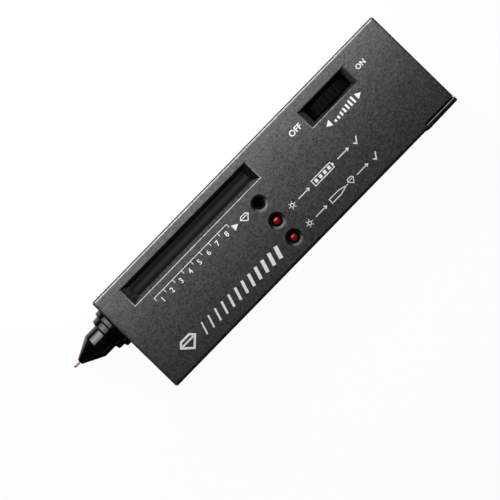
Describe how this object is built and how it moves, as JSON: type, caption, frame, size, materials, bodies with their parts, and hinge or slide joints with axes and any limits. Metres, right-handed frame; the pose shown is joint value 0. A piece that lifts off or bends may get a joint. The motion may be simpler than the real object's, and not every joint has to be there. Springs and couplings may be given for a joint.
{
  "type": "handheld diamond tester",
  "caption": "Slim black handheld gem tester with a sprung copper probe point, smoked bar-lamp window, round lamps, volume thumbwheel and sliding battery door.",
  "frame": {"origin": "middle of the whole instrument's footprint, on the plane of the case's flat back", "axes": "+X from the probe point to the wide end, +Y to the window side, +Z out of the front face"},
  "size_m": [0.1538, 0.0404, 0.022],
  "materials": {
    "case": "fine satin texture",
    "nose": "polished",
    "window": "smoked, polished",
    "wheel": "satin",
    "lamp": "clear red, polished",
    "bar_lamp": "diffuse red",
    "holder": "matt",
    "spacer": "matt",
    "copper": "drawn copper",
    "brass": "turned",
    "steel": "plain",
    "dark_steel": "blackened",
    "board": "lacquered",
    "chip": "matt",
    "capacitor": "sleeved",
    "resistor": "lacquered",
    "trimmer": "matt",
    "control": "satin",
    "ceramic": "matt",
    "lead_white": "matt",
    "lead_red": "matt",
    "lead_black": "matt",
    "battery": "satin",
    "snap": "matt"
  },
  "bodies": {
    "case": {"front_cover": "case", "rear_cover": "case", "display_window": "window", "case_screws": "dark_steel", "main_board": "board", "board_screws": "steel", "bar_lamps": "bar_lamp", "bar_lamp_holder": "holder", "battery_lamp": "lamp", "ready_lamp": "lamp", "lamp_spacers": "spacer", "buzzer": "chip", "volume_control": "control", "driver_chips": "chip", "capacitors": "capacitor", "resistors": "resistor", "trimmer": "trimmer", "probe_nose": "nose", "spring_plug": "dark_steel", "probe_spring": "steel", "probe_leads": "lead_white", "battery": "battery", "battery_terminals": "steel", "battery_snap": "snap", "snap_lead_red": "lead_red", "snap_lead_black": "lead_black"},
    "wheel": {"thumbwheel": "wheel", "control_shaft": "steel", "wheel_screw": "steel"},
    "probe": {"tip_carrier": "brass", "probe_tip": "copper", "tip_heater": "ceramic"},
    "door": {"battery_door": "case"}
  },
  "joints": [
    {"name": "volume_turn", "type": "hinge", "parent": "case", "child": "wheel", "pos_m": [0.04727, 0.0116, 0.0126], "axis": [0, 1, 0], "range_deg": [0, 270]},
    {"name": "probe_press", "type": "slide", "parent": "case", "child": "probe", "axis": [1, 0, 0], "range_m": [0, 0.0015], "stiffness_N_per_m": 80, "springref_m": -0.001, "deforming": ["probe_spring"]},
    {"name": "door_slide", "type": "slide", "parent": "case", "child": "door", "axis": [1, 0, 0], "range_m": [0, 0.06]}
  ]
}
